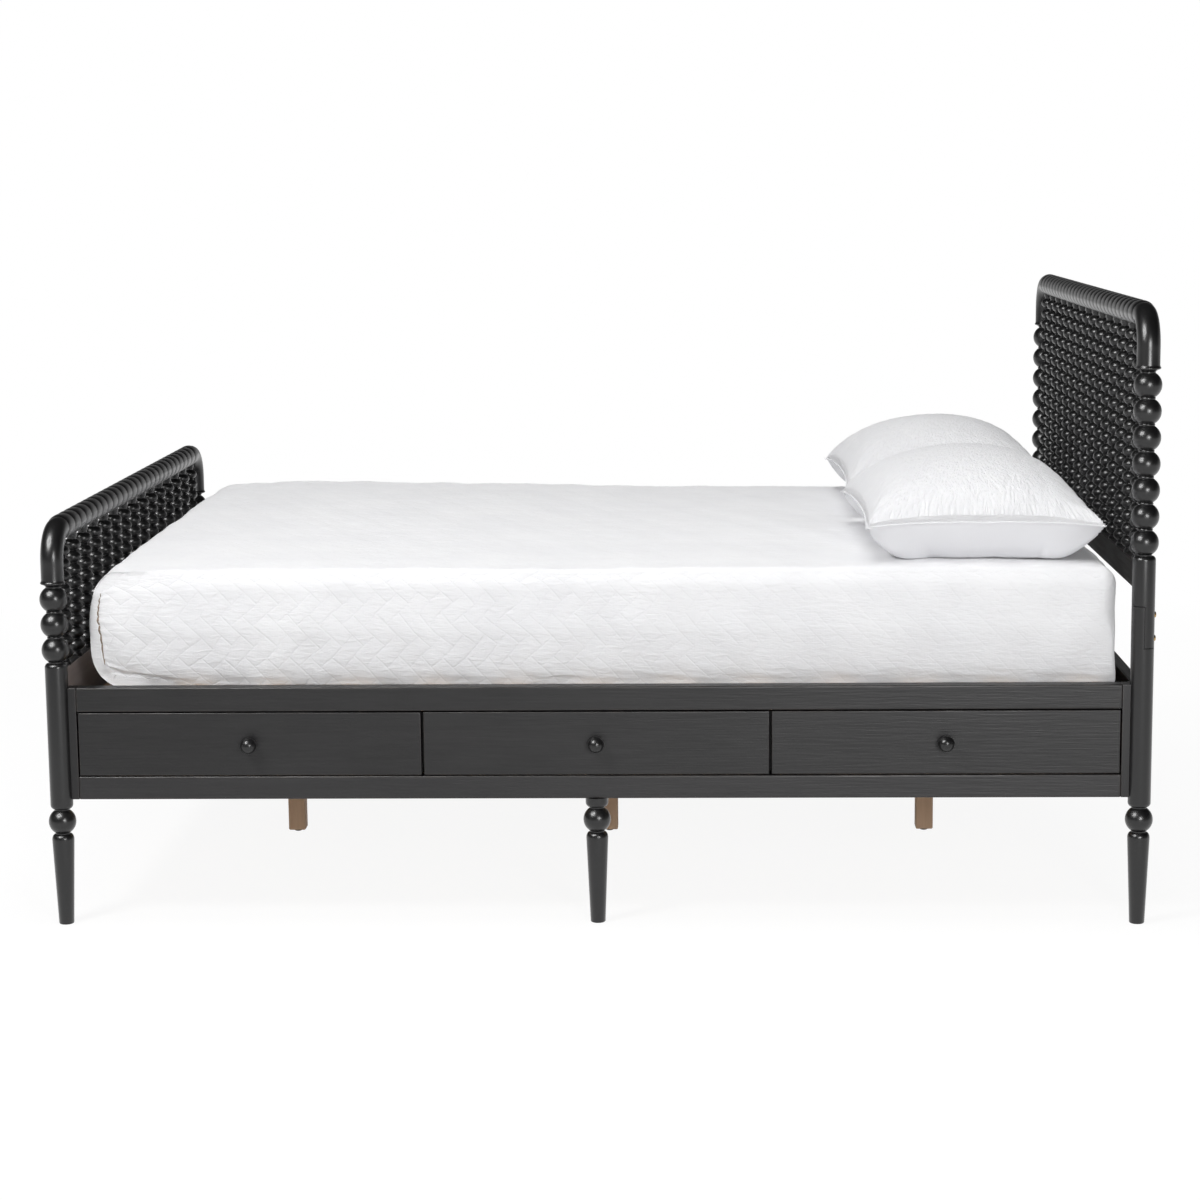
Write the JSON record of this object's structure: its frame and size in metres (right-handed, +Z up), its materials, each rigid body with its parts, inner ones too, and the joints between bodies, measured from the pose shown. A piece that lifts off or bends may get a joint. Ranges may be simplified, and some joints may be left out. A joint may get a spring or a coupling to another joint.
{
  "type": "platform bed",
  "caption": "Full-size platform bed with bobbin-turned spindle head and foot boards, drawers in one side, slats, a mattress and pillows.",
  "frame": {"origin": "centre of the bed's plan at floor level", "axes": "+X from the footboard to the headboard, -Y towards the side with the drawers, +Z up"},
  "size_m": [2.051, 1.5093, 1.1445],
  "materials": {
    "black_board": "satin black lacquer with a fine brushed grain",
    "black_turned": "semi-gloss black lacquer",
    "pale_wood": "planed, unfinished",
    "natural_wood": "planed, oiled",
    "runner_wood": "planed, waxed",
    "inner_panel": "plain plywood",
    "glide_plastic": "matte",
    "zinc_steel": "zinc plated",
    "brass": "satin",
    "mattress_cover": "white quilted knit",
    "pillow_cover": "white woven cotton"
  },
  "bodies": {
    "frame": {"centre_beam": "natural_wood", "centre_leg_foot": "natural_wood", "centre_leg_glides": "glide_plastic", "centre_leg_head": "natural_wood", "centre_leg_middle": "natural_wood", "corner_bracket_bolts": "zinc_steel", "corner_brackets": "zinc_steel", "drawer_channels": "runner_wood", "drawer_dividers": "black_board", "far_middle_leg": "black_turned", "far_side_rail": "black_board", "far_slat_cleat": "pale_wood", "foot_end_board": "black_board", "footboard_elbow_far": "black_turned", "footboard_elbow_near": "black_turned", "footboard_post_far": "black_turned", "footboard_post_near": "black_turned", "footboard_spindles": "black_turned", "footboard_top_rail": "black_turned", "head_end_board": "black_board", "headboard_elbow_far": "black_turned", "headboard_elbow_near": "black_turned", "headboard_lap_bolts": "brass", "headboard_panel_rail": "black_board", "headboard_post_base_far": "black_turned", "headboard_post_base_near": "black_turned", "headboard_post_top_far": "black_turned", "headboard_post_top_near": "black_turned", "headboard_spindles": "black_turned", "headboard_top_rail": "black_turned", "near_bottom_rail": "black_board", "near_middle_leg": "black_turned", "near_slat_cleat": "pale_wood", "near_stile_foot": "black_board", "near_stile_head": "black_board", "near_top_rail": "black_board", "slats": "pale_wood"},
    "drawer_foot": {"drawer_foot_front": "black_board", "drawer_foot_knob": "black_turned", "drawer_foot_sides": "pale_wood", "drawer_foot_back": "pale_wood", "drawer_foot_bottom": "inner_panel", "drawer_foot_runners": "runner_wood"},
    "drawer_middle": {"drawer_middle_front": "black_board", "drawer_middle_knob": "black_turned", "drawer_middle_sides": "pale_wood", "drawer_middle_back": "pale_wood", "drawer_middle_bottom": "inner_panel", "drawer_middle_runners": "runner_wood"},
    "drawer_head": {"drawer_head_front": "black_board", "drawer_head_knob": "black_turned", "drawer_head_sides": "pale_wood", "drawer_head_back": "pale_wood", "drawer_head_bottom": "inner_panel", "drawer_head_runners": "runner_wood"},
    "mattress": {"mattress": "mattress_cover"},
    "pillow_near": {"pillow_near": "pillow_cover"},
    "pillow_far": {"pillow_far": "pillow_cover"}
  },
  "joints": [
    {"name": "drawer_foot_slide", "type": "slide", "parent": "frame", "child": "drawer_foot", "axis": [0, -1, 0], "range_m": [0, 0.36]},
    {"name": "drawer_middle_slide", "type": "slide", "parent": "frame", "child": "drawer_middle", "axis": [0, -1, 0], "range_m": [0, 0.36]},
    {"name": "drawer_head_slide", "type": "slide", "parent": "frame", "child": "drawer_head", "axis": [0, -1, 0], "range_m": [0, 0.36]},
    {"name": "mattress_lift", "type": "slide", "parent": "frame", "child": "mattress", "axis": [0, 0, 1], "range_m": [0, 0.5]},
    {"name": "pillow_near_lift", "type": "slide", "parent": "mattress", "child": "pillow_near", "axis": [0, 0, 1], "range_m": [0, 0.4]},
    {"name": "pillow_far_lift", "type": "slide", "parent": "mattress", "child": "pillow_far", "axis": [0, 0, 1], "range_m": [0, 0.4]}
  ]
}
